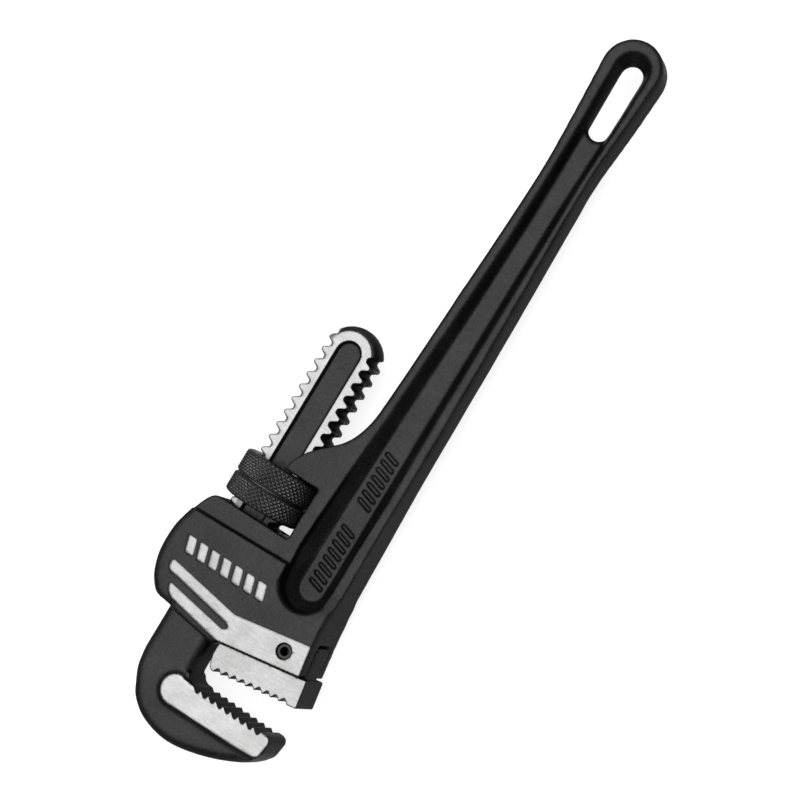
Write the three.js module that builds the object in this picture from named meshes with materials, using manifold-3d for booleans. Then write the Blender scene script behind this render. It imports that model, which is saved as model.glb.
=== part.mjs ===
// A straight pipe wrench of the 350 mm (14 in) class, as an assembly of separate solids, in millimetres.
//
// Design frame: X runs from the jaws (-X) to the hanging end of the handle (+X), Y runs from the handle
// towards the adjusting nut, and Z runs across the thickness, with the wrench's middle plane at Z = 0.
// The last lines lay the whole wrench on Z = 0, with its bounding box centred on X = Y = 0.

import * as THREE from "three";
import { mergeVertices } from "three/addons/utils/BufferGeometryUtils.js";
import Module from "manifold-3d";

const wasm = await Module();
wasm.setup();

// ---------------------------------------------------------------- driving dimensions

const GAP = 0.35; // clearance between neighbouring pieces

// Threaded shank of the hook jaw: a round thread between two flats.
const AXIS_Y = 27.3;
const PITCH = 6.05;
const CREST_R = 13.1;
const ROOT_R = 10.5;
const CREST_PHASE = -10.5; // X of a crest on the shank's +Y side
const SHANK_HALF = 6.5; // half the distance across the flats
const SHANK_END = 17.7;
const END_ROUND_IN = 3.4; // the rounded end slopes down from each flat by this much
const END_ROUND_DEEP = 5;
const THREAD_START = -99;
const PANEL_HALF = 5.75; // the sunk panel in each flat
const PANEL_DEPTH = 1.9;
const PANEL_END = 10.7;

// Hook jaw.
const HOOK_HALF = 9.5;
const JAW_HALF = 11; // ground side faces of both jaws
const NECK_TOP = 37.5;
const NECK_BOTTOM = 14;
const NECK_END = -116;
const TAPER_END = -108;
const MOUTH_X = -142.6;
const TOOTH_PITCH = 3.85;
const TOOTH_DEPTH = 2;
const TOOTH_COUNT = 9;

// Heel jaw and its pin.
const HEEL_TOP = [-133.6, 5];
const HEEL_BOTTOM = [-127.3, -33.2];
const HEEL_TOOTH_DEPTH = 1.9;
const TENON_HALF = 6.4;
const PIN_X = -110;
const PIN_Y = -17.7;
const PIN_HOLE_R = 3.25;
const PIN_R = 3.05;
const PIN_BORE_R = 1.8;
const PIN_BORE_DEPTH = 8;
const PIN_HALF = 14.1;

// Adjusting nut.
const NUT_R = 17.5;
const NUT_FROM = -68.5;
const NUT_TO = -48.75;
const NUT_CHAMFER = 1.5;
const NUT_GROOVE = [-60.3, -57.8];
const NUT_GROOVE_R = 16.5;

// Housing and handle, one casting.
const CHEEK_HALF = 14.5;
const RAISED = 0.5; // height of the cast stripes and bars
const BAND_HALF = 10.2; // the lower band of the head next to the nut
const HANDLE_HALF = 7.2;
const WEB_HALF = 2.1;
const RIB_HEIGHT = 1.1; // ornament ribs on the web
const WINDOW_FLOOR = 7.3;
const WINDOW_FROM = -72;
const WINDOW_TO = -48.4;
const CHANNEL_HALF = 10;
const CHANNEL_FLOOR = NECK_BOTTOM - GAP;
const CHANNEL_TOP = AXIS_Y + CREST_R + GAP;
const CHANNEL_STEP = -84; // the channel narrows to the shank's thickness here
const HANDLE_END = [162.3, -13.6];
const HANDLE_END_R = 13.1;
const SLOT_FROM = 131;
const SLOT_TO = 165.2;
const SLOT_TOP = -8.9;
const SLOT_BOTTOM = -18.7;
const ARCH_ROUND = 4;

// Springs between the housing and the shank.
const LEAF_HALF = 4;
const LEAF_THICK = 0.9;
const LEAF_POCKET_TOP = 45.2;
const RIVET_X = -110;
const COIL_X = -91;
const COIL_R = 3.9;
const COIL_WIRE_R = 0.6;
const COIL_TURNS = 4;
const COIL_SEAT = 3.6;

const ARC_STEPS = 8; // steps in each curved stretch of an outline
const ROUND_STEPS = 24; // sides of a full circle

// ---------------------------------------------------------------- shape helpers

function solid(geometry) {
  geometry.deleteAttribute("normal");
  geometry.deleteAttribute("uv");
  const merged = mergeVertices(geometry, 1e-4);
  return new wasm.Manifold(
    new wasm.Mesh({
      numProp: 3,
      vertProperties: merged.attributes.position.array,
      triVerts: new Uint32Array(merged.index.array),
    }),
  );
}

function geometryOf(manifold) {
  const mesh = manifold.getMesh();
  const geometry = new THREE.BufferGeometry();
  geometry.setAttribute("position", new THREE.BufferAttribute(mesh.vertProperties, 3));
  geometry.setIndex(new THREE.BufferAttribute(mesh.triVerts, 1));
  geometry.computeVertexNormals();
  return geometry;
}

function vectors(points) {
  return points.map(([x, y]) => new THREE.Vector2(x, y));
}

// A closed outline from straight stretches and curves: each item is one point, or { through: points }.
function outline(items) {
  const shape = new THREE.Shape();
  shape.moveTo(...items[0]);
  for (const item of items.slice(1)) {
    if (item.through) shape.splineThru(vectors(item.through));
    else shape.lineTo(...item);
  }
  shape.closePath();
  return shape;
}

// A flat plate in the XY plane, from z = low to z = high.
function plate(shape, low, high) {
  const options = { depth: high - low, bevelEnabled: false, curveSegments: ARC_STEPS };
  return solid(new THREE.ExtrudeGeometry(shape, options).translate(0, 0, low));
}

// A prism whose outline lies in the XZ plane, from y = low to y = high.
function sidePlate(shape, low, high) {
  const options = { depth: high - low, bevelEnabled: false, curveSegments: ARC_STEPS };
  return solid(new THREE.ExtrudeGeometry(shape, options).rotateX(Math.PI / 2).translate(0, high, 0));
}

function box(x, y, z) {
  const geometry = new THREE.BoxGeometry(x[1] - x[0], y[1] - y[0], z[1] - z[0]);
  return solid(geometry.translate((x[0] + x[1]) / 2, (y[0] + y[1]) / 2, (z[0] + z[1]) / 2));
}

// A cylinder along Z.
function post(x, y, radius, low, high) {
  const geometry = new THREE.CylinderGeometry(radius, radius, high - low, ROUND_STEPS);
  return solid(geometry.rotateX(Math.PI / 2).translate(x, y, (low + high) / 2));
}

// A cylinder along Y, in the middle plane.
function stud(x, radius, low, high) {
  return solid(
    new THREE.CylinderGeometry(radius, radius, high - low, ROUND_STEPS).translate(x, (low + high) / 2, 0),
  );
}

// The solid between rings of equal length at rising heights; every ring runs anticlockwise.
function loft(levels) {
  const count = levels[0].ring.length;
  const positions = levels.flatMap(({ ring, z }) => ring.flatMap(([x, y]) => [x, y, z]));
  const faces = [];
  for (let level = 0; level + 1 < levels.length; level++) {
    for (let i = 0; i < count; i++) {
      const a = level * count + i;
      const b = level * count + ((i + 1) % count);
      faces.push(a, b, b + count, a, b + count, a + count);
    }
  }
  const top = (levels.length - 1) * count;
  for (const [a, b, c] of THREE.ShapeUtils.triangulateShape(vectors(levels[0].ring), [])) {
    faces.push(a, c, b);
  }
  for (const [a, b, c] of THREE.ShapeUtils.triangulateShape(vectors(levels.at(-1).ring), [])) {
    faces.push(top + a, top + b, top + c);
  }
  const geometry = new THREE.BufferGeometry();
  geometry.setAttribute("position", new THREE.Float32BufferAttribute(positions, 3));
  geometry.setIndex(faces);
  return solid(geometry);
}

// A smooth function of x through stations [x, y] sorted by x (a cubic through each pair, with slopes
// taken from the neighbours).
function smooth(stations) {
  const slope = (i) => {
    const [x0, y0] = stations[Math.max(i - 1, 0)];
    const [x1, y1] = stations[Math.min(i + 1, stations.length - 1)];
    return (y1 - y0) / (x1 - x0);
  };
  return (x) => {
    let i = stations.findIndex(([station]) => station > x) - 1;
    if (i === -2) i = stations.length - 2;
    i = Math.max(i, 0);
    const [x0, y0] = stations[i];
    const [x1, y1] = stations[i + 1];
    const span = x1 - x0;
    const t = THREE.MathUtils.clamp((x - x0) / span, 0, 1);
    const t2 = t * t;
    const t3 = t2 * t;
    const ends = (2 * t3 - 3 * t2 + 1) * y0 + (3 * t2 - 2 * t3) * y1;
    return ends + span * ((t3 - 2 * t2 + t) * slope(i) + (t3 - t2) * slope(i + 1));
  };
}

// An anticlockwise ring of a long slot with rounded ends, between two edges given as functions of x.
function slotRing({ from, to, fromRound, toRound, upper, lower, steps }) {
  const stations = [];
  const bends = 5;
  for (let i = 0; i <= bends; i++) {
    const angle = (i / bends) * (Math.PI / 2);
    stations.push({ x: from + fromRound * (1 - Math.cos(angle)), full: Math.sin(angle) });
  }
  for (let i = 1; i < steps; i++) {
    const x = THREE.MathUtils.lerp(from + fromRound, to - toRound, i / steps);
    stations.push({ x, full: 1 });
  }
  for (let i = bends; i >= 0; i--) {
    const angle = (i / bends) * (Math.PI / 2);
    stations.push({ x: to - toRound * (1 - Math.cos(angle)), full: Math.sin(angle) });
  }
  const edge = ({ x, full }, side) => {
    const middle = (upper(x) + lower(x)) / 2;
    const half = (upper(x) - lower(x)) / 2;
    return [x, middle + side * half * full];
  };
  const below = stations.map((station) => edge(station, -1));
  const above = stations.slice(1, -1).map((station) => edge(station, 1));
  return [...below, ...above.reverse()];
}

// The same solid on both sides of the middle plane.
function bothSides(manifold) {
  return manifold.add(manifold.mirror([0, 0, 1]));
}

function steel(color, roughness) {
  return new THREE.MeshStandardMaterial({ color, roughness, metalness: 0.9 });
}

function paint(color) {
  return new THREE.MeshStandardMaterial({ color, roughness: 0.5, metalness: 0.1 });
}

function part(name, manifold, material) {
  const mesh = new THREE.Mesh(geometryOf(manifold), material);
  mesh.name = name;
  return mesh;
}

// ---------------------------------------------------------------- thread

// Radius of the thread at a phase from 0 to 1, where 0 is the middle of a crest.
function threadRadius(phase, extra) {
  const away = Math.abs(phase - Math.round(phase)) * 2; // 0 on the crest, 1 in the root
  const flank = THREE.MathUtils.clamp((away - 0.22) / 0.5, 0, 1);
  return THREE.MathUtils.lerp(CREST_R, ROOT_R, flank) + extra;
}

// A right-handed helical solid on the shank's axis, with vertices that follow the thread, trimmed to
// x = from..to. Each end is closed by a fan from the axis.
function threadSolid(from, to, extra, sides) {
  const phases = [-0.11, 0.11, 0.36, 0.64]; // crest's two edges and root's two edges
  const samples = phases.length;
  const first = Math.floor((from - CREST_PHASE) / PITCH) - 2;
  const turns = Math.ceil((to - CREST_PHASE) / PITCH) + 1 - first;
  const rows = turns * samples + 1;
  const phaseOf = (row) => first + Math.floor(row / samples) + phases[row % samples];
  const positions = [];
  for (let row = 0; row < rows; row++) {
    for (let side = 0; side < sides; side++) {
      const angle = (side / sides) * 2 * Math.PI;
      const x = CREST_PHASE + (phaseOf(row) + side / sides) * PITCH;
      const radius = threadRadius(phaseOf(row), extra);
      positions.push(x, AXIS_Y + radius * Math.cos(angle), radius * Math.sin(angle));
    }
  }
  // Vertex (row, side), where side = sides is the vertex one turn further along at side 0.
  const at = (row, side) => (side < sides ? row * sides + side : (row + samples) * sides);
  const faces = [];
  for (let row = 0; row + 1 < rows; row++) {
    for (let side = 0; side < sides; side++) {
      if (side === sides - 1 && row + 1 + samples >= rows) continue;
      const [a, b, c, d] = [at(row, side), at(row, side + 1), at(row + 1, side + 1), at(row + 1, side)];
      faces.push(a, b, c, a, c, d);
    }
  }
  const last = rows - 1;
  const startLoop = [];
  for (let side = 0; side <= sides; side++) startLoop.push(at(0, side));
  for (let row = samples - 1; row > 0; row--) startLoop.push(at(row, 0));
  const endLoop = [];
  for (let side = 0; side < sides; side++) endLoop.push(at(last, side));
  for (let row = last - samples; row < last; row++) endLoop.unshift(at(row, sides - 1));
  const fan = (loop, x, flip) => {
    const centre = positions.length / 3;
    positions.push(x, AXIS_Y, 0);
    loop.forEach((a, i) => {
      const b = loop[(i + 1) % loop.length];
      faces.push(centre, flip ? b : a, flip ? a : b);
    });
  };
  fan(startLoop, CREST_PHASE + (phaseOf(0) + 0.5) * PITCH, true);
  fan(endLoop, CREST_PHASE + (phaseOf(last) + 0.5) * PITCH, false);
  const geometry = new THREE.BufferGeometry();
  geometry.setAttribute("position", new THREE.Float32BufferAttribute(positions, 3));
  geometry.setIndex(faces);
  const reach = CREST_R + 5;
  return solid(geometry).intersect(
    box([from, to], [AXIS_Y - reach, AXIS_Y + reach], [-reach, reach]),
  );
}

// A solid of revolution about the shank's axis; profile points are [x, radius].
function turned(profile) {
  const points = profile.map(([x, radius]) => new THREE.Vector2(radius, x));
  return solid(
    new THREE.LatheGeometry(points, ROUND_STEPS).rotateZ(-Math.PI / 2).translate(0, AXIS_Y, 0),
  );
}

// ---------------------------------------------------------------- hook jaw

function hookOutline() {
  return outline([
    [TAPER_END, NECK_BOTTOM],
    [TAPER_END, NECK_TOP],
    [-141, NECK_TOP],
    {
      through: [
        [-149, 36.2],
        [-155.5, 33.2],
        [-160.6, 30],
        [-165.5, 23.4],
        [-168.2, 14.5],
        [-168.5, 6],
        [-166.5, -4],
        [-163, -14.2],
        [-158, -24.3],
        [-154.6, -28],
        [-150, -30.7],
      ],
    },
    [-145, -31.2],
    { through: [[-143.4, -30.4], [MOUTH_X, -28.6]] },
    [MOUTH_X, 9.8],
    { through: [[-141.2, 12.6], [-138, NECK_BOTTOM]] },
  ]);
}

// The ring of the hook's ground pad, or of the foot of its sloping side when spread is not 0.
function padRing(spread) {
  const centre = [-148.3, 15.2];
  const radius = 5.9 + spread;
  const ring = [
    [MOUTH_X, -28.6],
    [MOUTH_X, 9.8],
  ];
  const bends = 10;
  for (let i = 0; i <= bends; i++) {
    const angle = (i / bends) * Math.PI;
    ring.push([centre[0] + radius * Math.cos(angle), centre[1] + radius * Math.sin(angle)]);
  }
  ring.push([-153.3 - spread, -18]);
  ring.push([-152.6 - spread * 0.5, -28.4]);
  ring.push([-151.4 - spread * 0.2, -30]);
  ring.push([-145, -31]);
  ring.push([-143.4, -30.2]);
  return ring;
}

// Notches cut along a tooth line from its top down. side is 1 where the metal lies to the left of the way
// down and -1 where it lies to the right; lean says where in its pitch a notch is deepest.
function notches(topPoint, bottomPoint, { side, depth, firstAt, lean }) {
  const along = new THREE.Vector2(bottomPoint[0] - topPoint[0], bottomPoint[1] - topPoint[1]).normalize();
  const inward = new THREE.Vector2(-along.y * side, along.x * side);
  const start = new THREE.Vector2(...topPoint);
  const place = (distance, inset) =>
    start.clone().addScaledVector(along, distance).addScaledVector(inward, inset);
  const cuts = [];
  for (let i = 0; i < TOOTH_COUNT; i++) {
    const at = firstAt + i * TOOTH_PITCH;
    const corners = [
      place(at - 0.47 * TOOTH_PITCH, -0.01),
      place(at - 0.47 * TOOTH_PITCH, -1.5),
      place(at + 0.47 * TOOTH_PITCH, -1.5),
      place(at + 0.47 * TOOTH_PITCH, -0.01),
      place(at + (lean - 0.44) * TOOTH_PITCH, depth),
      place(at + (lean - 0.56) * TOOTH_PITCH, depth),
    ];
    if (THREE.ShapeUtils.isClockWise(corners)) corners.reverse();
    cuts.push(plate(new THREE.Shape(corners), -JAW_HALF - 1, JAW_HALF + 1));
  }
  return cuts;
}

// The sunk panel in one flat of the shank.
function shankPanel() {
  const ring = (half, end) =>
    slotRing({
      from: TAPER_END + 5,
      to: end,
      fromRound: half,
      toRound: half,
      upper: () => AXIS_Y + half,
      lower: () => AXIS_Y - half,
      steps: 1,
    });
  const floorHalf = PANEL_HALF - 0.7;
  return loft([
    { ring: ring(floorHalf, PANEL_END - 0.7), z: SHANK_HALF - PANEL_DEPTH },
    { ring: ring(PANEL_HALF, PANEL_END), z: SHANK_HALF },
    { ring: ring(PANEL_HALF, PANEL_END), z: SHANK_HALF + 2 },
  ]);
}

// The slab between the shank's flats, with its rounded and sloping end. Its sides stand clear of the
// thread, so that only the end is shaped.
function shankFlats() {
  const centreX = SHANK_END - CREST_R;
  const reach = 1.3; // the end's arc covers this angle to each side, in radians
  const wide = CREST_R + 6;
  const arc = [];
  for (let i = 0; i <= 12; i++) {
    const angle = THREE.MathUtils.lerp(-reach, reach, i / 12);
    arc.push([centreX + CREST_R * Math.cos(angle), AXIS_Y + CREST_R * Math.sin(angle)]);
  }
  const shape = new THREE.Shape(
    vectors([[-160, AXIS_Y - wide], [-4, AXIS_Y - wide], ...arc, [-4, AXIS_Y + wide], [-160, AXIS_Y + wide]]),
  );
  const depth = 2 * (SHANK_HALF - END_ROUND_DEEP);
  const rounding = {
    depth,
    bevelThickness: END_ROUND_DEEP,
    bevelSize: END_ROUND_IN,
    bevelOffset: -END_ROUND_IN,
    bevelSegments: 3,
  };
  return solid(new THREE.ExtrudeGeometry(shape, rounding).translate(0, 0, -depth / 2)).intersect(
    box([TAPER_END - 2, SHANK_END + 1], [AXIS_Y - 20, AXIS_Y + 20], [-SHANK_HALF, SHANK_HALF]),
  );
}

function hookJaw() {
  const flank = outline([
    [-175, -HOOK_HALF],
    [NECK_END, -HOOK_HALF],
    [TAPER_END, -SHANK_HALF],
    [TAPER_END, SHANK_HALF],
    [NECK_END, HOOK_HALF],
    [-175, HOOK_HALF],
  ]);
  const pad = loft([
    { ring: padRing(3.2), z: HOOK_HALF - 0.6 },
    { ring: padRing(0), z: JAW_HALF },
  ]);
  let head = plate(hookOutline(), -HOOK_HALF, HOOK_HALF).intersect(sidePlate(flank, -40, 45));
  head = head.add(bothSides(pad));
  const saw = { side: -1, depth: TOOTH_DEPTH, firstAt: 2.8, lean: 0.75 };
  for (const cut of notches([MOUTH_X, 9.8], [MOUTH_X, -30], saw)) head = head.subtract(cut);

  const stock = turned([[TAPER_END - 2, 0], [TAPER_END - 2, 12.2], [THREAD_START, 12.2], [THREAD_START, 0]]);
  const shank = threadSolid(THREAD_START - 1, SHANK_END + 1, 0, ROUND_STEPS)
    .add(stock)
    .intersect(shankFlats())
    .subtract(bothSides(shankPanel()));
  return part("hook_jaw", head.add(shank), steel(0x3a3a3a, 0.45));
}

// ---------------------------------------------------------------- heel jaw

function heelJaw() {
  const body = plate(
    outline([
      HEEL_BOTTOM,
      [-116, -31.3],
      [-115.5, -30.7],
      [-122, 9],
      [-127.5, 9],
      { through: [[-131.4, 7.9], [-133.2, 6.5], HEEL_TOP] },
    ]),
    -JAW_HALF,
    JAW_HALF,
  );
  const tenon = plate(
    outline([
      [-121, 4.6],
      [-118.5, -30],
      [-115, -29.3],
      [-102.2, -27.9],
      [-108.6, 4.6],
    ]),
    -TENON_HALF,
    TENON_HALF,
  );
  let jaw = body.add(tenon);
  const teeth = { side: 1, depth: HEEL_TOOTH_DEPTH, firstAt: 1.8, lean: 0.5 };
  for (const cut of notches(HEEL_TOP, HEEL_BOTTOM, teeth)) jaw = jaw.subtract(cut);
  jaw = jaw.subtract(post(PIN_X, PIN_Y, PIN_HOLE_R, -CHEEK_HALF, CHEEK_HALF));
  return part("heel_jaw", jaw, steel(0xc8c8c8, 0.4));
}

// A pin with a drilled hollow in each end.
function heelJawPin() {
  const hollow = post(PIN_X, PIN_Y, PIN_BORE_R, PIN_HALF - PIN_BORE_DEPTH, PIN_HALF + 1);
  const pin = post(PIN_X, PIN_Y, PIN_R, -PIN_HALF, PIN_HALF).subtract(bothSides(hollow));
  return part("heel_jaw_pin", pin, steel(0x4a4a4a, 0.4));
}

// ---------------------------------------------------------------- adjusting nut

function adjustingNut() {
  const rim = NUT_R - NUT_CHAMFER;
  const body = turned([
    [NUT_FROM, 0],
    [NUT_FROM, rim],
    [NUT_FROM + NUT_CHAMFER * 0.3, NUT_R - NUT_CHAMFER * 0.3],
    [NUT_FROM + NUT_CHAMFER, NUT_R],
    [NUT_GROOVE[0], NUT_R],
    [NUT_GROOVE[0] + 0.5, NUT_GROOVE_R],
    [NUT_GROOVE[1] - 0.5, NUT_GROOVE_R],
    [NUT_GROOVE[1], NUT_R],
    [NUT_TO - NUT_CHAMFER, NUT_R],
    [NUT_TO - NUT_CHAMFER * 0.3, NUT_R - NUT_CHAMFER * 0.3],
    [NUT_TO, rim],
    [NUT_TO, 0],
  ]);
  const tap = threadSolid(NUT_FROM - 1, NUT_TO + 1, GAP, ROUND_STEPS);
  return part("adjusting_nut", body.subtract(tap), steel(0x2e2e2e, 0.5));
}

// ---------------------------------------------------------------- housing and handle

const handleUpper = smooth([
  [-8, 2.8],
  [10, 1.8],
  [50, -0.1],
  [75, -1.4],
  [110, -2.65],
  [130, -2.15],
  [162.3, -0.5],
]);

const handleLower = smooth([
  [-117, -29],
  [-100, -27.1],
  [-80, -26],
  [-50, -25.4],
  [0, -25.2],
  [50, -24.5],
  [100, -23.5],
  [118, -23.5],
  [140, -25.4],
  [162.3, -26.8],
]);

function samples(edge, from, to, steps) {
  return Array.from({ length: steps + 1 }, (_, i) => {
    const x = THREE.MathUtils.lerp(from, to, i / steps);
    return [x, edge(x)];
  });
}

// The curve from the handle's upper edge up to the nut's window, where the neck laps over the shank.
function neckCurve() {
  const points = [
    [-8, 2.8],
    [-14, 3.6],
    [-20, 5.3],
    [-25.8, 8.3],
    [-30, 12],
    [-34, 16.3],
    [-38, 20],
    [-42.5, 22.8],
    [WINDOW_TO, 24.5],
  ];
  return new THREE.SplineCurve(vectors(points)).getPoints(24).map(({ x, y }) => [x, y]);
}

function handleBeam() {
  const [endX, endY] = HANDLE_END;
  const ring = samples(handleLower, -115.3, endX, 36);
  const bends = 18;
  for (let i = 1; i < bends; i++) {
    const angle = -Math.PI / 2 + (i / bends) * Math.PI;
    ring.push([endX + HANDLE_END_R * Math.cos(angle), endY + HANDLE_END_R * Math.sin(angle)]);
  }
  ring.push(...samples(handleUpper, endX, -4, 32));
  ring.push(...neckCurve(), [WINDOW_TO, WINDOW_FLOOR], [-112, WINDOW_FLOOR]);
  const half = smooth([
    [-130, CHEEK_HALF],
    [-93, CHEEK_HALF],
    [-84, 11.8],
    [-79, BAND_HALF + 0.1],
    [WINDOW_FROM, BAND_HALF],
    [WINDOW_TO, 9.4],
    [-22, 7.7],
    [10, HANDLE_HALF],
    [180, HANDLE_HALF],
  ]);
  const thickness = (x) => Math.min(half(x), CHEEK_HALF);
  const edge = [...samples(thickness, -130, 10, 28), [180, HANDLE_HALF]];
  const lower = edge.map(([x, z]) => [x, -z]);
  const side = sidePlate(new THREE.Shape(vectors([...lower, ...edge.reverse()])), -40, 40);
  return plate(new THREE.Shape(vectors(ring)), -20, 20).intersect(side);
}

const ARCH = [
  [-121, 36.2],
  [-120.4, 41.5],
  [-118.3, 45.2],
  [-114.1, 48.6],
  [-109.5, 50.7],
  [-104, 52.1],
  [-97, 52.5],
  [-90.4, 51.9],
  [-84.3, 50.2],
  [-79, 48.3],
  [-75.3, 46.5],
  [-73, 44.5],
  [-72.1, 41.8],
  [WINDOW_FROM, 38],
];

// The head: two cheek plates' thickness of metal, a lower band next to the nut, and a rounded arch.
function head() {
  const cheek = outline([
    [-115.3, -28.8],
    [-97.5, -27],
    [-92.5, -18],
    [-86, -9],
    [-79.6, -9],
    [-81.8, 54],
    [-100, 60],
    [-130, 54],
    [-121, 36.2],
    [-124.3, 10.2],
    [-121.6, 9],
  ]);
  const band = outline([
    [WINDOW_FROM, 0],
    [WINDOW_FROM, 54],
    [-90, 54],
    [-90, 0],
  ]);
  const crown = outline([
    [-160, -60],
    [-60, -60],
    [-60, 38],
    [WINDOW_FROM, 38],
    { through: [...ARCH].reverse().slice(1) },
    [-160, 36.2],
  ]);
  const rounding = {
    depth: 2 * (CHEEK_HALF - ARCH_ROUND),
    bevelThickness: ARCH_ROUND,
    bevelSize: ARCH_ROUND,
    bevelOffset: -ARCH_ROUND,
    bevelSegments: 4,
    curveSegments: 18,
  };
  const rounded = solid(
    new THREE.ExtrudeGeometry(crown, rounding).translate(0, 0, ARCH_ROUND - CHEEK_HALF),
  );
  return plate(cheek, -CHEEK_HALF, CHEEK_HALF)
    .add(plate(band, -BAND_HALF, BAND_HALF))
    .intersect(rounded);
}

// The recess that leaves each side of the handle as an I section, with sloping walls.
function handleRecess() {
  const openUpper = smooth([
    [-90, -0.5],
    [-70, 1.2],
    [-50, 0.1],
    [-20, -1],
    [20, -3],
    [50, -5],
    [85, -6.6],
    [130, -7.2],
    [170, -6.6],
  ]);
  const openLower = smooth([
    [-90, -20.9],
    [-50, -20.5],
    [0, -20.2],
    [100, -20.5],
    [130, -20.9],
    [150, -21.8],
    [170, -22],
  ]);
  const floorUpper = smooth([
    [-90, -4.6],
    [-50, -5],
    [0, -6.5],
    [50, -8.2],
    [100, -9.2],
    [132, -9],
    [167, -8.2],
  ]);
  const floorLower = smooth([
    [-90, -16],
    [0, -16.4],
    [50, -16.7],
    [100, -17.2],
    [132, -18.4],
    [167, -19.4],
  ]);
  const open = slotRing({
    from: -94.3,
    to: 170.2,
    fromRound: 9,
    toRound: 7.5,
    upper: openUpper,
    lower: openLower,
    steps: 18,
  });
  const floor = slotRing({
    from: -89.3,
    to: 166.4,
    fromRound: 5.5,
    toRound: 5.4,
    upper: floorUpper,
    lower: floorLower,
    steps: 18,
  });
  return loft([
    { ring: floor, z: WEB_HALF },
    { ring: open, z: HANDLE_HALF },
    { ring: open, z: CHEEK_HALF + 2 },
  ]);
}

function hangingSlot() {
  const half = (SLOT_TOP - SLOT_BOTTOM) / 2;
  const ring = slotRing({
    from: SLOT_FROM,
    to: SLOT_TO,
    fromRound: half,
    toRound: half,
    upper: () => SLOT_TOP,
    lower: () => SLOT_BOTTOM,
    steps: 1,
  });
  return loft([{ ring, z: -HANDLE_HALF }, { ring, z: HANDLE_HALF }]);
}

// The raised stripe on each cheek: a broad foot over the pin, split into two prongs up the arch.
function cheekStripe() {
  const stripe = outline([
    [-115.3, -28.5],
    [-102.8, -26.3],
    [-108.9, 8.2],
    [-104.4, 38],
    { through: [[-103.8, 42.6], [-104.6, 43.6]] },
    [-106.8, 43.4],
    { through: [[-108, 42], [-108.5, 38]] },
    [-113.1, 9.7],
    { through: [[-114.9, 7.6], [-116.7, 9.7]] },
    [-112.6, 37],
    { through: [[-112.4, 38.9], [-113.2, 39.2]] },
    { through: [[-115.6, 37.8], [-117.2, 35.2]] },
    [-121.5, 8.9],
  ]);
  return plate(stripe, CHEEK_HALF - 0.3, CHEEK_HALF + RAISED).subtract(
    post(PIN_X, PIN_Y, PIN_HOLE_R, 0, CHEEK_HALF + 2),
  );
}

// A plain cast ornament beside the stripe: a column of slanted bars.
function cheekBars() {
  const bars = [];
  const count = 7;
  for (let i = 0; i < count; i++) {
    const y = 4.2 + i * 6;
    bars.push([[-98.3, y - 3.2], [-91.7, y - 1.2], [-91.7, y + 2.6], [-98.3, y + 0.6]]);
  }
  return bars.map((corners) =>
    plate(new THREE.Shape(vectors(corners)), CHEEK_HALF - 0.3, CHEEK_HALF + RAISED),
  );
}

// Low slanted ribs on the web, in two groups.
function webRibs() {
  const ribs = [];
  const pitch = 3.6;
  const groups = [
    { from: -82, count: 8 },
    { from: -44, count: 7 },
  ];
  for (const { from, count } of groups) {
    for (let i = 0; i < count; i++) {
      const x = from + i * pitch;
      ribs.push([[x - 1.6, -14.3], [x - 0.1, -14.3], [x + 1.9, -7.4], [x + 0.4, -7.4]]);
    }
  }
  return ribs.map((corners) =>
    plate(new THREE.Shape(vectors(corners)), WEB_HALF - 0.3, WEB_HALF + RIB_HEIGHT),
  );
}

function handleHousing() {
  let casting = handleBeam().add(head());

  // Passage for the hook jaw, wide at the jaw side and as thin as the shank at the nut side.
  casting = casting
    .subtract(
      box([-135, CHANNEL_STEP], [CHANNEL_FLOOR, CHANNEL_TOP], [-CHANNEL_HALF, CHANNEL_HALF]),
    )
    .subtract(
      box(
        [CHANNEL_STEP - 1, WINDOW_FROM + 3],
        [CHANNEL_FLOOR, CHANNEL_TOP],
        [-SHANK_HALF - GAP, SHANK_HALF + GAP],
      ),
    );

  // The saddle that the shank lies in, behind the nut.
  casting = casting.subtract(
    box([WINDOW_TO - 1, -18], [AXIS_Y - CREST_R - GAP, 40], [-SHANK_HALF - GAP, SHANK_HALF + GAP]),
  );

  // Seats of the leaf spring, its rivet and the coil spring.
  casting = casting
    .subtract(box([-114.5, -85.5], [CHANNEL_TOP - 1, LEAF_POCKET_TOP], [-LEAF_HALF - 0.5, LEAF_HALF + 0.5]))
    .subtract(stud(RIVET_X, 1.8, CHANNEL_TOP, 47.8))
    .subtract(stud(COIL_X, COIL_R + COIL_WIRE_R + GAP, COIL_SEAT, CHANNEL_FLOOR + 1));

  // Slot for the heel jaw's tenon, open towards the mouth and the handle's back, and the pin's hole.
  const tenonSlot = outline([
    [-135, 5],
    [-108.3, 5],
    [-101.8, -27.9],
    [-101.6, -40],
    [-135, -40],
  ]);
  casting = casting
    .subtract(plate(tenonSlot, -TENON_HALF - GAP, TENON_HALF + GAP))
    .subtract(post(PIN_X, PIN_Y, PIN_HOLE_R, -CHEEK_HALF - 2, CHEEK_HALF + 2));

  casting = casting.subtract(bothSides(handleRecess())).subtract(hangingSlot());
  for (const piece of [cheekStripe(), ...cheekBars(), ...webRibs()]) {
    casting = casting.add(bothSides(piece));
  }
  return part("handle_housing", casting, paint(0x303030));
}

// ---------------------------------------------------------------- springs

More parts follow.
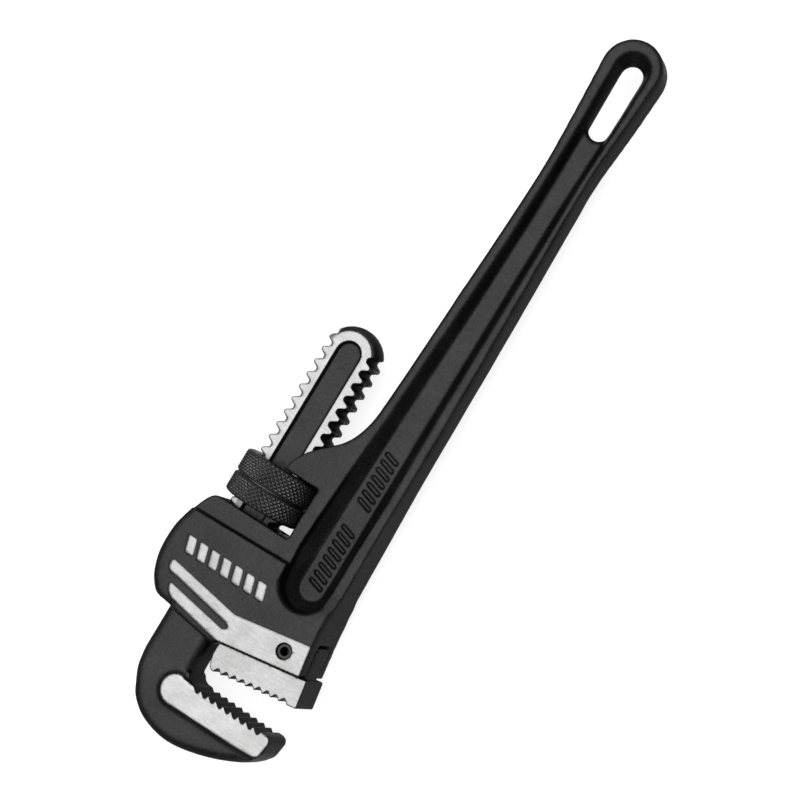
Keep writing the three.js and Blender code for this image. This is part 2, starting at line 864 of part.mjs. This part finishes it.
// A leaf riveted to the roof of the passage, bowed down towards the shank.
function flatSpring() {
  const roof = LEAF_POCKET_TOP - GAP;
  const line = smooth([
    [-114, roof],
    [-107, roof],
    [-95, AXIS_Y + CREST_R + GAP + LEAF_THICK + 0.2],
    [-86.5, roof - 1.2],
  ]);
  const top = samples(line, -114, -86.5, 16);
  const bottom = top.map(([x, y]) => [x, y - LEAF_THICK]);
  const strip = plate(new THREE.Shape(vectors([...bottom, ...top.reverse()])), -LEAF_HALF, LEAF_HALF);
  const hole = stud(RIVET_X, 1.8, roof - 3, roof + 1);
  return part("flat_spring", strip.subtract(hole), steel(0x5a5a5a, 0.35));
}

function springRivet() {
  const under = LEAF_POCKET_TOP - GAP - LEAF_THICK;
  const shaft = stud(RIVET_X, 1.45, under - GAP - 0.5, 47.4);
  const cap = stud(RIVET_X, 2.6, under - GAP - 1.1, under - GAP);
  return part("spring_rivet", shaft.add(cap), steel(0x707070, 0.4));
}

function coilSpring() {
  const low = COIL_SEAT + GAP + COIL_WIRE_R;
  const high = CHANNEL_FLOOR - COIL_WIRE_R + 0.1;
  const points = [];
  const stepsPerTurn = 12;
  for (let i = 0; i <= COIL_TURNS * stepsPerTurn; i++) {
    const share = i / (COIL_TURNS * stepsPerTurn);
    const angle = share * COIL_TURNS * 2 * Math.PI;
    points.push(
      new THREE.Vector3(
        COIL_X + COIL_R * Math.cos(angle),
        THREE.MathUtils.lerp(low, high, share),
        COIL_R * Math.sin(angle),
      ),
    );
  }
  const section = new THREE.Shape();
  section.absarc(0, 0, COIL_WIRE_R, 0, 2 * Math.PI);
  const wire = new THREE.ExtrudeGeometry(section, {
    extrudePath: new THREE.CatmullRomCurve3(points),
    steps: COIL_TURNS * 14,
    curveSegments: 3,
    bevelEnabled: false,
  });
  return part("coil_spring", solid(wire), steel(0x808080, 0.35));
}

// ---------------------------------------------------------------- assembly

const wrench = new THREE.Group();
wrench.add(
  handleHousing(),
  hookJaw(),
  heelJaw(),
  heelJawPin(),
  adjustingNut(),
  flatSpring(),
  springRivet(),
  coilSpring(),
);

const bounds = new THREE.Box3().setFromObject(wrench);
const middle = bounds.getCenter(new THREE.Vector3());
wrench.position.set(-middle.x, -middle.y, -bounds.min.z);

export default wrench;
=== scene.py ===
# The looks of the pipe wrench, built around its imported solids: each piece is the solid itself with its
# edges rounded and its inner corners filled, and the nut's knurl is cut as real geometry.

import math

import bpy
import numpy as np
import openvdb
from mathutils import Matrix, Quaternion, Vector


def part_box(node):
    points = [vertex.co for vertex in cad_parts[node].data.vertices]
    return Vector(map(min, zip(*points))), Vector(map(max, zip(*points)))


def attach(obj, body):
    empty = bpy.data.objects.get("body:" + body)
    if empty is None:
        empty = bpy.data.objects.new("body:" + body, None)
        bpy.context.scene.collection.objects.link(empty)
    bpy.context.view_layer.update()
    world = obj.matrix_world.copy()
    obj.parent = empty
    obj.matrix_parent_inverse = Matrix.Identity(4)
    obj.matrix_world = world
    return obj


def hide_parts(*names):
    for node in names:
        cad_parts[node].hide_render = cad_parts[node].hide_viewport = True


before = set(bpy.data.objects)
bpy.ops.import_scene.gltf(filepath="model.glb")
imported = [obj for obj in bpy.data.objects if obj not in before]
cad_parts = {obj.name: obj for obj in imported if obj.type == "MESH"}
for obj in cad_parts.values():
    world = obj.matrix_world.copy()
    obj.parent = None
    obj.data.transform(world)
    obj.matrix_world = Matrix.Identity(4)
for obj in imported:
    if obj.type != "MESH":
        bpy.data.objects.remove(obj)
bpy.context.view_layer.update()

MM = 0.001
COARSE = 1.0  # the grids are coarser while trying things

# Places on the wrench, mm. Heights are from its middle plane.
MIDDLE_Z = 17.5  # the middle plane, above the floor
AXIS_Y = 17.648  # the shank's and the nut's axis
STRIPE_GROUND = 14.72  # above this the housing is bare metal
PAD_GROUND = 10.72
FLAT_GROUND = 6.3
HEEL_GROUND = 10.85
SHANK_FROM = -108.5
# X before which the flats' rims carry painted shade, for the shade under the nut
RIM_SHADE_ENDS = -64.0
THREAD_PHASE = -13.869  # X of a crest on the +Y side
THREAD_PITCH = 6.05
THREAD_CREST = 13.45  # radii of the nut's own thread
THREAD_ROOT = 10.85
KNURL_COUNT = 50  # diamonds round the nut
KNURL_DEPTH = 0.6
KNURL_SAMPLES = 8  # grid points to a diamond, along and round
NUT_RIM = [(0, 15.7), (0.1, 16.0), (0.45, 16.8), (0.9, 17.2)]  # in from an end, and the radius there
NUT_RIM_WIDTH = 1.5
NUT_GROOVE = [8.5, 9.25, 9.65, 10.4]  # in from the nut's jaw end: top, bottom, bottom, top
NUT_GROOVE_RADIUS = 16.5

# Roundings, mm: outer edges, inner corners, and the blur that lets them run out gently.
CHEEK_ROUNDING = (1.9, 0.9, 0.45)
BAND_ROUNDING = (0.4, 0.4, 0.35)
HANDLE_ROUNDING = (1.9, 0.8, 0.55)
HOOK_ROUNDING = (4.0, 2.5, 0.8)
PAD_ROUNDING = (0.25, 2.4, 0.2)
THIN_BLUR = 0.3
HANDLE_WALL_BLUR = 3.0  # along the handle only

# How far nearly flat faces are merged, as a share of a grid cell.
HOUSING_MERGE = 0.026
HOOK_MERGE = 0.02
SMALL_MERGE = 0.01

BLACK_METALNESS = 0.9
EDGE_TINT = 0.44  # share of the reflection kept at grazing angles

# The studio: the dome's light rises from the horizon's to the top's strength between two angles.
FLOOR_REACH = 12.0  # metres
FLOOR_COLOUR = (0.32, 0.32, 0.32)
FLOOR_GLOW = 0.8
DOME_TOP = (0.06, 0.15, 1.0)
DOME_ANGLES = (38, 68)
DOME_STRENGTHS = (0.22, 4.4)

# The camera looks down on the wrench, with the handle towards the upper right.
CAMERA_PLACE = (6.72, -284.71, 842.5)
CAMERA_TARGET = (-3.37, -9.65, 17.5)
CAMERA_TURN = -60.9  # degrees about the line of sight
LENS = 95.7
SENSOR = 36.0

# ---------------------------------------------------------------- signed distance fields (mm)


class Block:
    """A regular grid of points round some solid."""

    def __init__(self, points, voxel, margin):
        self.voxel = voxel
        self.transform = openvdb.createLinearTransform(voxelSize=voxel)
        self.low = np.floor((points.min(0) - margin) / voxel).astype(int)
        high = np.ceil((points.max(0) + margin) / voxel).astype(int)
        self.shape = tuple(int(n) for n in high - self.low + 1)
        self.corner = tuple(int(n) for n in self.low)

    def axes(self):
        """The three coordinates in mm, each shaped to broadcast over the block."""
        made = []
        for axis in range(3):
            values = (self.low[axis] + np.arange(self.shape[axis])) * self.voxel
            shape = [1, 1, 1]
            shape[axis] = -1
            made.append(values.reshape(shape).astype(np.float32))
        return made

    def distances(self, surface, band):
        """The signed distance to a closed surface, negative inside, cut off at the band."""
        points, triangles, quads = surface
        grid = openvdb.FloatGrid.createLevelSetFromPolygons(
            points, triangles=triangles, quads=quads, transform=self.transform, halfWidth=band / self.voxel
        )
        field = np.zeros(self.shape, np.float32)
        grid.copyToArray(field, ijk=self.corner)
        return field

    def surface(self, field, level, adaptivity=0.0):
        """The surface where the field has that value, as points, triangles and quads."""
        grid = openvdb.FloatGrid(float(np.abs(field).max()))
        grid.transform = self.transform
        grid.gridClass = openvdb.GridClass.LEVEL_SET
        grid.copyFromArray(field, ijk=self.corner)
        return grid.convertToPolygons(level, adaptivity)

    def sample(self, field, points):
        """The field at the points, interpolated."""
        place = points / self.voxel - self.low
        base = np.clip(np.floor(place).astype(int), 0, np.array(self.shape) - 2)
        part = place - base
        total = np.zeros(len(points))
        for corner in range(8):
            step = np.array([corner & 1, corner >> 1 & 1, corner >> 2 & 1])
            weight = np.prod(np.where(step, part, 1 - part), axis=1)
            x, y, z = (base + step).T
            total += weight * field[x, y, z]
        return total

    def slopes(self, field, points):
        """Unit normals of the field at the points."""
        normals = np.zeros((len(points), 3))
        for axis in range(3):
            step = np.zeros(3)
            step[axis] = self.voxel * 0.6
            normals[:, axis] = self.sample(field, points + step) - self.sample(field, points - step)
        return normals / np.maximum(np.linalg.norm(normals, axis=1, keepdims=True), 1e-9)


def node_surface(name):
    """A CAD node's mesh in mm, as points, triangles and no quads."""
    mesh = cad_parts[name].data
    mesh.calc_loop_triangles()
    points = np.zeros(len(mesh.vertices) * 3, np.float32)
    mesh.vertices.foreach_get("co", points)
    triangles = np.zeros(len(mesh.loop_triangles) * 3, np.int32)
    mesh.loop_triangles.foreach_get("vertices", triangles)
    return points.reshape(-1, 3) / MM, triangles.reshape(-1, 3).astype(np.uint32), None


def rounded(block, surface, edge, corner):
    """The distance field of a solid whose edges are rounded to one radius and inner corners to another."""
    band = edge + corner + 4 * block.voxel
    shrunk = block.surface(block.distances(surface, band), -edge)
    grown = block.surface(block.distances(shrunk, band), edge + corner)
    return block.distances(grown, band) + corner


def blurred(field, sigma, axes=(0, 1, 2)):
    """The field after a Gaussian blur along the axes; sigma is in voxels."""
    reach = int(math.ceil(2.5 * sigma))  # the weights beyond are negligible
    weights = np.exp(-0.5 * (np.arange(-reach, reach + 1) / sigma) ** 2)
    weights /= weights.sum()
    for axis in axes:
        padding = [(reach, reach) if a == axis else (0, 0) for a in range(3)]
        wide = np.pad(field, padding, mode="edge")
        total = np.zeros_like(field)
        for i, weight in enumerate(weights):
            window = [slice(None)] * 3
            window[axis] = slice(i, i + field.shape[axis])
            total += np.float32(weight) * wide[tuple(window)]
        field = total
    return field


def softened(block, surface, edge, corner, blur):
    """The rounded solid's field after a blur, in mm."""
    return blurred(rounded(block, surface, edge, corner), blur / block.voxel)


def mixed(first, second, share):
    return first + share * (second - first)


def ramp(value, start, end):
    """0 before start, 1 after end, smooth between; start may be above end."""
    t = np.clip((value - start) / (end - start), 0, 1)
    return (t * t * (3 - 2 * t)).astype(np.float32)


def near_top(block, field, height, reach):
    """1 over and round whatever stands up to that height from the middle plane, on either side, and 0
    from twice the reach (mm) away. It is one sheet for the whole thickness."""
    layers = []
    for z in (MIDDLE_Z + height, MIDDLE_Z - height):
        layers.append(field[:, :, int(round(z / block.voxel)) - block.low[2]])
    covered = (np.minimum(*layers) < 0).astype(np.float32)[:, :, None]
    spread = blurred(covered, reach / block.voxel, axes=(0, 1))
    nothing, full = 0.02, 0.16
    return ramp(spread, nothing, full)


# ---------------------------------------------------------------- meshes


def piece_from_field(name, block, field, adaptivity):
    """The field's zero surface as an object, shaded by the field's own normals."""
    points, triangles, quads = block.surface(field, 0.0, adaptivity)
    points = points.astype(float)
    faces = [tuple(reversed(f)) for f in triangles.tolist()] + [tuple(reversed(f)) for f in quads.tolist()]
    mesh = bpy.data.meshes.new(name)
    mesh.from_pydata((points * MM).tolist(), [], faces)
    mesh.validate()
    mesh.shade_smooth()
    mesh.normals_split_custom_set_from_vertices(block.slopes(field, points).tolist())
    piece = bpy.data.objects.new(name, mesh)
    bpy.context.scene.collection.objects.link(piece)
    print("PIECE", name, len(points), "points", len(triangles) + 2 * len(quads), "triangles")
    return piece


def put(piece, node, body, material):
    """Lets a finished piece stand for a CAD node."""
    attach(piece, body)
    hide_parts(node)
    piece.data.materials.clear()
    piece.data.materials.append(material)
    return piece


# ---------------------------------------------------------------- materials


class Nodes:
    """A short way to write a material's node tree."""

    def __init__(self, name):
        self.material = bpy.data.materials.new(name)
        self.material.use_nodes = True
        self.tree = self.material.node_tree
        self.tree.nodes.clear()
        output = self.tree.nodes.new("ShaderNodeOutputMaterial")
        self.shader = self.tree.nodes.new("ShaderNodeBsdfPrincipled")
        self.tree.links.new(self.shader.outputs[0], output.inputs["Surface"])
        self.place = self.tree.nodes.new("ShaderNodeTexCoord").outputs["Object"]
        split = self.tree.nodes.new("ShaderNodeSeparateXYZ")
        self.tree.links.new(self.place, split.inputs[0])
        self.x, self.y, self.z = split.outputs

    def feed(self, socket, value):
        if isinstance(value, bpy.types.NodeSocket):
            self.tree.links.new(value, socket)
        else:
            socket.default_value = value

    def math(self, operation, *values):
        node = self.tree.nodes.new("ShaderNodeMath")
        node.operation = operation
        for socket, value in zip(node.inputs, values):
            self.feed(socket, value)
        return node.outputs[0]

    def ramp(self, value, start, end, low=0.0, high=1.0):
        """low before start and high after end, with a smooth rise between."""
        node = self.tree.nodes.new("ShaderNodeMapRange")
        node.interpolation_type = "SMOOTHSTEP"
        for socket, number in zip(node.inputs, (value, start, end, low, high)):
            self.feed(socket, number)
        return node.outputs[0]

    def noise(self, size, detail=2.0, stretch=(1, 1, 1), roughness=0.5):
        """Noise from 0 to 1 with features of about that size in metres."""
        mapping = self.tree.nodes.new("ShaderNodeMapping")
        mapping.inputs["Scale"].default_value = [1 / s for s in stretch]
        self.tree.links.new(self.place, mapping.inputs["Vector"])
        node = self.tree.nodes.new("ShaderNodeTexNoise")
        node.inputs["Scale"].default_value = 1 / size
        node.inputs["Detail"].default_value = detail
        node.inputs["Roughness"].default_value = roughness
        self.tree.links.new(mapping.outputs[0], node.inputs["Vector"])
        return node.outputs["Fac"]

    def mix(self, share, first, second):
        node = self.tree.nodes.new("ShaderNodeMix")
        node.data_type = "RGBA"
        self.feed(node.inputs["Factor"], share)
        for socket, value in ((node.inputs[6], first), (node.inputs[7], second)):
            self.feed(socket, (*value, 1.0) if isinstance(value, tuple) else value)
        return node.outputs[2]

    def blend(self, share, first, second, kind="FLOAT"):
        node = self.tree.nodes.new("ShaderNodeMix")
        node.data_type = kind
        place = {"FLOAT": 2, "VECTOR": 4}[kind]
        self.feed(node.inputs["Factor"], share)
        self.feed(node.inputs[place], first)
        self.feed(node.inputs[place + 1], second)
        return node.outputs[{"FLOAT": 0, "VECTOR": 1}[kind]]

    def bump(self, height, distance):
        node = self.tree.nodes.new("ShaderNodeBump")
        node.inputs["Distance"].default_value = distance
        self.feed(node.inputs["Height"], height)
        return node.outputs[0]

    def set(self, **values):
        for name, value in values.items():
            socket = self.shader.inputs[name.replace("_", " ")]
            self.feed(socket, (*value, 1.0) if isinstance(value, tuple) else value)


def black_and_bright(name, bright, base=0.02, gloss=0.4, steel=0.26):
    """Black finish on a slightly rough surface, with bare ground steel where bright (a function of the
    nodes, or None) is 1. The black reflects evenly up to steep angles, as a burnt-on finish does."""
    n = Nodes(name)
    patches = n.noise(0.016, 3)
    skin = n.noise(0.0012, 3)
    grain = n.noise(0.0005, 2)
    speckle = n.ramp(grain, 0.3, 0.7, 0.85, 1.25)
    dark, light = (base * 0.85,) * 3, (base * 1.2,) * 3
    colour = n.mix(n.ramp(patches, 0.3, 0.72), dark, light)
    colour = n.mix(n.ramp(grain, 0.48, 0.75, 0.0, 0.8), colour, (base * 2.1,) * 3)
    rough = n.math("MULTIPLY", n.ramp(skin, 0.25, 0.75, gloss - 0.05, gloss + 0.06), speckle)
    rough = n.math("ADD", rough, n.ramp(patches, 0.3, 0.7, -0.02, 0.04))
    skin_height = n.math("ADD", n.math("MULTIPLY", skin, 0.7), n.math("MULTIPLY", grain, 0.3))
    painted = n.bump(skin_height, 0.0001)
    n.set(Specular_IOR_Level=0.1, Specular_Tint=(EDGE_TINT,) * 3)
    if bright is None:
        n.set(Base_Color=colour, Roughness=rough, Normal=painted, Metallic=BLACK_METALNESS)
        return n.material
    share = bright(n)
    lines = n.noise(0.0006, 2, stretch=(1, 9, 1))
    mottle = n.noise(0.0009, 3)
    stain = n.noise(0.012, 3)
    metal = n.mix(n.ramp(mottle, 0.3, 0.7), (steel * 0.92,) * 3, (steel * 1.05,) * 3)
    metal = n.mix(n.ramp(stain, 0.4, 0.8, 0.0, 0.5), metal, (steel * 0.88, steel * 0.875, steel * 0.86))
    steel_rough = n.math("ADD", n.ramp(lines, 0.3, 0.7, 0.38, 0.46), n.ramp(stain, 0.4, 0.7, 0.0, 0.05))
    ground_height = n.math("ADD", n.math("MULTIPLY", lines, 0.5), n.math("MULTIPLY", mottle, 0.5))
    ground = n.bump(ground_height, 0.000025)
    n.set(
        Base_Color=n.mix(share, colour, metal),
        Roughness=n.blend(share, rough, steel_rough),
        Normal=n.blend(share, painted, ground, "VECTOR"),
        Metallic=n.blend(share, BLACK_METALNESS, 1.0),
    )
    return n.material


def height_above_middle(n):
    return n.math("ABSOLUTE", n.math("SUBTRACT", n.z, MIDDLE_Z * MM))


def radius_from_axis(n):
    out = n.math("SUBTRACT", n.y, AXIS_Y * MM)
    up = n.math("SUBTRACT", n.z, MIDDLE_Z * MM)
    return n.math("SQRT", n.math("ADD", n.math("MULTIPLY", out, out), n.math("MULTIPLY", up, up)))


def edge_of(n, value, at, blur=0.04):
    """1 where the value, in metres, is above a place in mm."""
    return n.ramp(value, (at - blur) * MM, (at + blur) * MM)


def housing_bright(n):
    return edge_of(n, height_above_middle(n), STRIPE_GROUND)


def hook_bright(n):
    """The pads, the rims of the shank's flats with painted shade on them towards the housing, the thread's
    crests where the nut has worn them bare, and the +Y side of the thread made bare steel as painted light,
    so that side shows lighter.
    """
    height = height_above_middle(n)
    pad = edge_of(n, height, PAD_GROUND)
    along = edge_of(n, n.x, SHANK_FROM, 0.3)
    back = edge_of(n, n.y, AXIS_Y, 0.5)
    # Painted shade: towards the housing the flats' bright rims turn black, fully on the −Y side and to 40%
    # bright on the +Y side, for the shade under the nut.
    past_painted_nut_shade = edge_of(n, n.x, RIM_SHADE_ENDS, 2.0)
    kept = n.math("MAXIMUM", n.math("MULTIPLY", back, n.math("MULTIPLY_ADD", past_painted_nut_shade, 0.6, 0.4)), past_painted_nut_shade)
    flats = n.math("MULTIPLY", edge_of(n, height, FLAT_GROUND), kept)
    worn = n.ramp(n.noise(0.0014, 2), 0.4, 0.62, 0.0, 0.6)
    crests = n.math("MULTIPLY", edge_of(n, radius_from_axis(n), 12.9, 0.15), worn)
    # Painted light: the thread's +Y side is made mostly bare steel so that it shows lighter, as the lit side,
    # while the −Y side stays black.
    bare = n.ramp(n.noise(0.0016, 3), 0.3, 0.5, 0.55, 0.95)
    painted_lit_side = n.math("MULTIPLY", edge_of(n, n.y, AXIS_Y + 8.5, 0.4), bare)
    shank = n.math("MULTIPLY", along, n.math("MAXIMUM", flats, n.math("MAXIMUM", crests, painted_lit_side)))
    return n.math("MAXIMUM", pad, shank)


def heel_bright(n):
    return edge_of(n, height_above_middle(n), HEEL_GROUND)


def knurl_bright(n):
    """The knurl's points, worn bare here and there."""
    worn = n.ramp(n.noise(0.004, 3), 0.4, 0.7, 0.1, 0.6)
    return n.math("MULTIPLY", edge_of(n, radius_from_axis(n), 17.36, 0.08), worn)


# ---------------------------------------------------------------- pieces


def housing():
    """The casting. Its field is mixed from differently rounded ones, region by region."""
    surface = node_surface("handle_housing")
    block = Block(surface[0], 0.35 * COARSE, 3.0)
    x, y, z = block.axes()
    height = np.abs(z - MIDDLE_Z)
    sharp = rounded(block, surface, 0.25, 0.25)
    cheeks = softened(block, surface, *CHEEK_ROUNDING)
    band = softened(block, surface, *BAND_ROUNDING)
    handle = softened(block, surface, *HANDLE_ROUNDING)
    long_walls = ramp(x, -15, 0) * ramp(x, 122, 112)
    along = blurred(handle, HANDLE_WALL_BLUR / block.voxel, axes=(0,))
    handle = mixed(handle, along, long_walls)
    thin = blurred(sharp, THIN_BLUR / block.voxel)

    past_cheeks = ramp(x, -92, -87)
    spring_walls = ramp(height, 9, 7) * ramp(y, 28, 30)
    to_handle = ramp(x, -75, 0)
    shank_cover = ramp(y, -3, 3) * ramp(x, -14, -24) * ramp(x, -64, -58)
    heel_corner = ramp(x, -110, -115) * ramp(y, -24, -29)
    ribs = ramp(height, 3.5, 3.0) * ramp(x, -94, -90) * ramp(x, -16, -20)
    ribs = ribs * ramp(y, -28, -26) * ramp(y, -14, -15)
    bars_and_stripe = near_top(block, sharp, 14.75, 0.6) * ramp(height, 13.9, 14.3)

    soft = mixed(cheeks, band, past_cheeks)
    soft = mixed(soft, band, spring_walls)
    soft = mixed(soft, handle, to_handle)
    soft = mixed(soft, thin, shank_cover)
    soft = mixed(soft, thin, heel_corner)
    soft = mixed(soft, rounded(block, surface, 0.45, 0.45), ribs)
    return piece_from_field("housing", block, mixed(soft, sharp, bars_and_stripe), HOUSING_MERGE)


def hook():
    """The movable jaw: soft round the hook, crisp on the pad, the teeth and the shank."""
    surface = node_surface("hook_jaw")
    block = Block(surface[0], 0.3 * COARSE, 4.0)
    x = block.axes()[0]
    sharp = rounded(block, surface, 0.2, 0.25)
    soft = softened(block, surface, *HOOK_ROUNDING)
    sloped = softened(block, surface, *PAD_ROUNDING)  # rises gently to the pad
    pad = mixed(sharp, sloped, ramp(x, -147.5, -149.5))
    soft = mixed(soft, pad, near_top(block, sharp, 10.5, 2.0))
    return piece_from_field("hook", block, mixed(soft, sharp, ramp(x, -122, -116)), HOOK_MERGE)


def small(name, node, grid, edge):
    """A CAD node with its edges and inner corners rounded to one radius."""
    surface = node_surface(node)
    block = Block(surface[0], grid * COARSE, 1.5)
    return piece_from_field(name, block, rounded(block, surface, edge, edge), SMALL_MERGE)


def thread_radius(x, angle):
    """Radius of the nut's thread, as in the solid: a crest passes x = THREAD_PHASE on the +Y side."""
    phase = (x - THREAD_PHASE) / THREAD_PITCH - angle / (2 * math.pi)
    away = np.abs(phase - np.round(phase)) * 2  # 0 on a crest, 1 in a root
    flat, flank = 0.22, 0.5
    return THREAD_CREST - (THREAD_CREST - THREAD_ROOT) * np.clip((away - flat) / flank, 0, 1)


def nut():
    """The adjusting nut: two knurled bands with a groove between, and a threaded bore, as one closed grid."""
    low, high = (np.array(v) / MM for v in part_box("adjusting_nut"))
    start, end = low[0], high[0]
    outside = (high[2] - low[2]) / 2
    columns = KNURL_COUNT * KNURL_SAMPLES
    angle = (np.arange(columns) / columns * 2 * math.pi)[None, :]
    step = 2 * math.pi * outside / KNURL_COUNT  # the diamonds' length along the nut and round it

    rim = NUT_RIM + [(NUT_RIM_WIDTH, outside)]
    groove_radii = (outside, NUT_GROOVE_RADIUS, NUT_GROOVE_RADIUS, outside)
    shape = [(start + in_by, radius) for in_by, radius in rim]
    shape += [(start + in_by, radius) for in_by, radius in zip(NUT_GROOVE, groove_radii)]
    shape += [(end - in_by, radius) for in_by, radius in reversed(rim)]
    corners = np.array(shape)
    rows = np.concatenate([np.arange(start + 1.0, end - 1.0, step / KNURL_SAMPLES), corners[:, 0]])
    rows = np.unique(np.round(rows, 2))
    least_gap = 0.05
    rows = rows[np.concatenate([[True], np.diff(rows) > least_gap])]
    rows[0], rows[-1] = start, end
    x = rows[:, None]
    turned = np.interp(x, corners[:, 0], corners[:, 1])
    first = (x - start) / step + angle / (2 * math.pi) * KNURL_COUNT
    second = (x - start) / step - angle / (2 * math.pi) * KNURL_COUNT
    ridge = np.minimum(*(np.abs(p - np.floor(p) - 0.5) * 2 for p in (first, second)))
    knurled = outside - KNURL_DEPTH * (1 - np.minimum(ridge * 1.15, 1))
    outer = np.stack(np.broadcast_arrays(x, np.minimum(turned, knurled)), axis=-1)

    def across(at, rim, bore, count):
        """Rows over an end face, from one radius to the other."""
        share = np.linspace(0, 1, count + 2)[1:-1, None]
        return np.stack(np.broadcast_arrays(at, rim + share * (bore - rim)), axis=-1)

    inside_x = np.linspace(end, start, 46)[:, None]
    bore = thread_radius(inside_x, angle)
    inner = np.stack(np.broadcast_arrays(inside_x, bore), axis=-1)
    grid = np.concatenate([
        outer,
        across(end, outer[-1, :, 1], bore[0], 3),
        inner,
        across(start, bore[-1], outer[0, :, 1], 3),
    ])
    radius = grid[..., 1]
    points = np.stack(
        [grid[..., 0], AXIS_Y + radius * np.cos(angle), MIDDLE_Z + radius * np.sin(angle)], axis=-1
    ).reshape(-1, 3)
    index = np.arange(len(points)).reshape(radius.shape)
    a, b = index, np.roll(index, -1, axis=1)
    d, c = np.roll(index, -1, axis=0), np.roll(b, -1, axis=0)
    flat = radius.reshape(-1)
    valley = (flat[a] + flat[c] < flat[b] + flat[d])[..., None]
    halves = [
        np.where(valley, np.stack([a, b, c], -1), np.stack([a, b, d], -1)),
        np.where(valley, np.stack([a, c, d], -1), np.stack([b, c, d], -1)),
    ]
    faces = np.concatenate([h.reshape(-1, 3) for h in halves])
    mesh = bpy.data.meshes.new("nut")
    mesh.from_pydata((points * MM).tolist(), [], faces.tolist())
    mesh.validate()
    mesh.shade_smooth()
    mesh.set_sharp_from_angle(angle=math.radians(24))
    piece = bpy.data.objects.new("nut", mesh)
    bpy.context.scene.collection.objects.link(piece)
    print("PIECE nut", len(points), "points", len(faces), "triangles")
    return piece


paint = black_and_bright("black_enamel_and_ground_iron", housing_bright)
put(housing(), "handle_housing", "handle", paint)
hook_look = black_and_bright("black_and_ground_steel", hook_bright, steel=0.28)
put(hook(), "hook_jaw", "hook", hook_look)
heel_look = black_and_bright("ground_and_black_steel", heel_bright, steel=0.255)
put(small("heel", "heel_jaw", grid=0.25, edge=0.3), "heel_jaw", "handle", heel_look)
dark = black_and_bright("black_oxide", None, base=0.024, gloss=0.36)
put(small("pin", "heel_jaw_pin", grid=0.12, edge=0.14), "heel_jaw_pin", "handle", dark)
nut_look = black_and_bright("black_oxide_knurl", knurl_bright, base=0.04, gloss=0.34)
put(nut(), "adjusting_nut", "nut", nut_look)
put(small("leaf", "flat_spring", grid=0.12, edge=0.15), "flat_spring", "handle", dark)
put(small("rivet", "spring_rivet", grid=0.12, edge=0.2), "spring_rivet", "handle", dark)
put(small("coil", "coil_spring", grid=0.12, edge=0.2), "coil_spring", "handle", dark)

# ---------------------------------------------------------------- floor, light and camera


def pale_floor():
    mesh = bpy.data.meshes.new("floor")
    reach = FLOOR_REACH
    corners = [(-reach, -reach, 0), (reach, -reach, 0), (reach, reach, 0), (-reach, reach, 0)]
    mesh.from_pydata(corners, [], [(0, 1, 2, 3)])
    floor = bpy.data.objects.new("floor", mesh)
    bpy.context.scene.collection.objects.link(floor)
    n = Nodes("pale_floor")
    n.set(Base_Color=FLOOR_COLOUR, Roughness=0.9, Specular_IOR_Level=0.1)
    n.set(Emission_Color=(1.0, 1.0, 1.0), Emission_Strength=FLOOR_GLOW)
    mesh.materials.append(n.material)


def light_dome():
    """A soft light overhead that fades towards the horizon, so that flats shine and walls stay dark."""
    world = bpy.data.worlds.new("studio")
    bpy.context.scene.world = world
    world.use_nodes = True
    tree = world.node_tree
    tree.nodes.clear()
    output = tree.nodes.new("ShaderNodeOutputWorld")
    background = tree.nodes.new("ShaderNodeBackground")
    place = tree.nodes.new("ShaderNodeTexCoord")
    towards = tree.nodes.new("ShaderNodeVectorMath")
    towards.operation = "DOT_PRODUCT"
    towards.inputs[1].default_value = Vector(DOME_TOP).normalized()
    rise = tree.nodes.new("ShaderNodeMapRange")
    rise.interpolation_type = "SMOOTHSTEP"
    sines = [math.sin(math.radians(angle)) for angle in DOME_ANGLES]
    for socket, number in zip(rise.inputs[1:5], (*sines, *DOME_STRENGTHS)):
        socket.default_value = number
    tree.links.new(place.outputs["Generated"], towards.inputs[0])
    tree.links.new(towards.outputs["Value"], rise.inputs[0])
    tree.links.new(rise.outputs[0], background.inputs["Strength"])
    tree.links.new(background.outputs[0], output.inputs["Surface"])


def camera():
    data = bpy.data.cameras.new("camera")
    data.lens = LENS
    data.sensor_width = SENSOR
    data.clip_start = 0.05
    data.clip_end = 50.0
    holder = bpy.data.objects.new("camera", data)
    bpy.context.scene.collection.objects.link(holder)
    place = Vector(CAMERA_PLACE) * MM
    target = Vector(CAMERA_TARGET) * MM
    turn = Quaternion((0, 0, 1), math.radians(CAMERA_TURN))
    holder.rotation_mode = "QUATERNION"
    holder.location = place
    holder.rotation_quaternion = (target - place).to_track_quat("-Z", "Y") @ turn
    bpy.context.scene.camera = holder


pale_floor()
light_dome()
camera()
bpy.context.scene.view_settings.view_transform = "Standard"
